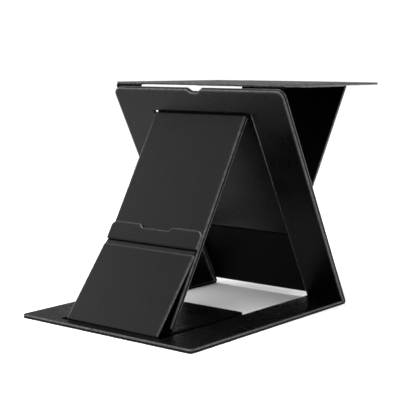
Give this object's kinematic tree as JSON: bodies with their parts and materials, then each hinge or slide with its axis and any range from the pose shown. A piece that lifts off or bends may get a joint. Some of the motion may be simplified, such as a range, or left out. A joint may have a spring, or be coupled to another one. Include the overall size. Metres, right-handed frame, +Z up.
{
  "type": "laptop stand",
  "caption": "Folding board laptop stand covered in dark leatherette: base, leaning windowed back propped by a kickstand, level top shelf, rear strut and front flap.",
  "frame": {"origin": "on the floor under the middle of the stand's outline", "axes": "+Z up, +X across the stand, the front of the stand is -Y"},
  "size_m": [0.2374, 0.35, 0.2544],
  "materials": {
    "cover": "charcoal leatherette with a fine grain",
    "flap_cover": "charcoal leatherette with a fine grain",
    "fold_cover": "creased leatherette",
    "lining": "smooth dark leatherette lining",
    "keeper_steel": "plain sheet steel",
    "magnet": "plated magnet"
  },
  "bodies": {
    "base": {"lower_board": "lining", "upper_board": "cover", "deck_flap": "cover"},
    "back": {"back_front_board": "cover", "back_rear_board": "cover", "ledge_panel": "lining", "back_keepers": "keeper_steel", "fold_left": "fold_cover", "fold_right": "fold_cover"},
    "kick": {"kick_front_board": "cover", "kick_rear_board": "cover", "kick_keeper": "keeper_steel"},
    "top": {"top_board": "cover", "under_board": "cover", "top_fold_left": "fold_cover", "top_fold_right": "fold_cover", "strut_fold": "fold_cover"},
    "strut": {"strut_board": "cover", "strut_magnets": "magnet"},
    "flap": {"flap_board": "flap_cover"},
    "strip": {"strip_board": "flap_cover", "strip_magnets": "magnet"}
  },
  "joints": [
    {"name": "stand_fold", "type": "hinge", "parent": "base", "child": "back", "pos_m": [0, 0.10773, 0.0035], "axis": [-1, 0, 0], "range_deg": [0, 29.2]},
    {"name": "kick_fold", "type": "hinge", "parent": "back", "child": "kick", "pos_m": [0, -0.01439, 0.22182], "axis": [1, 0, 0], "range_deg": [0, 58.4]},
    {"name": "shelf_lift", "type": "hinge", "parent": "back", "child": "top", "pos_m": [0, -0.0217, 0.25084], "axis": [1, 0, 0], "range_deg": [0, 110]},
    {"name": "strut_swing", "type": "hinge", "parent": "top", "child": "strut", "pos_m": [0, 0.1747, 0.24964], "axis": [1, 0, 0], "range_deg": [0, 121]},
    {"name": "flap_fold", "type": "hinge", "parent": "base", "child": "flap", "pos_m": [0, -0.1616, 0.0048], "axis": [1, 0, 0], "range_deg": [0, 115]},
    {"name": "strip_fold", "type": "hinge", "parent": "flap", "child": "strip", "pos_m": [0, -0.10066, 0.08216], "axis": [1, 0, 0], "range_deg": [0, 60]}
  ],
  "couplings": [
    {"joint": "kick_fold", "follows": "stand_fold", "ratio": 2}
  ]
}
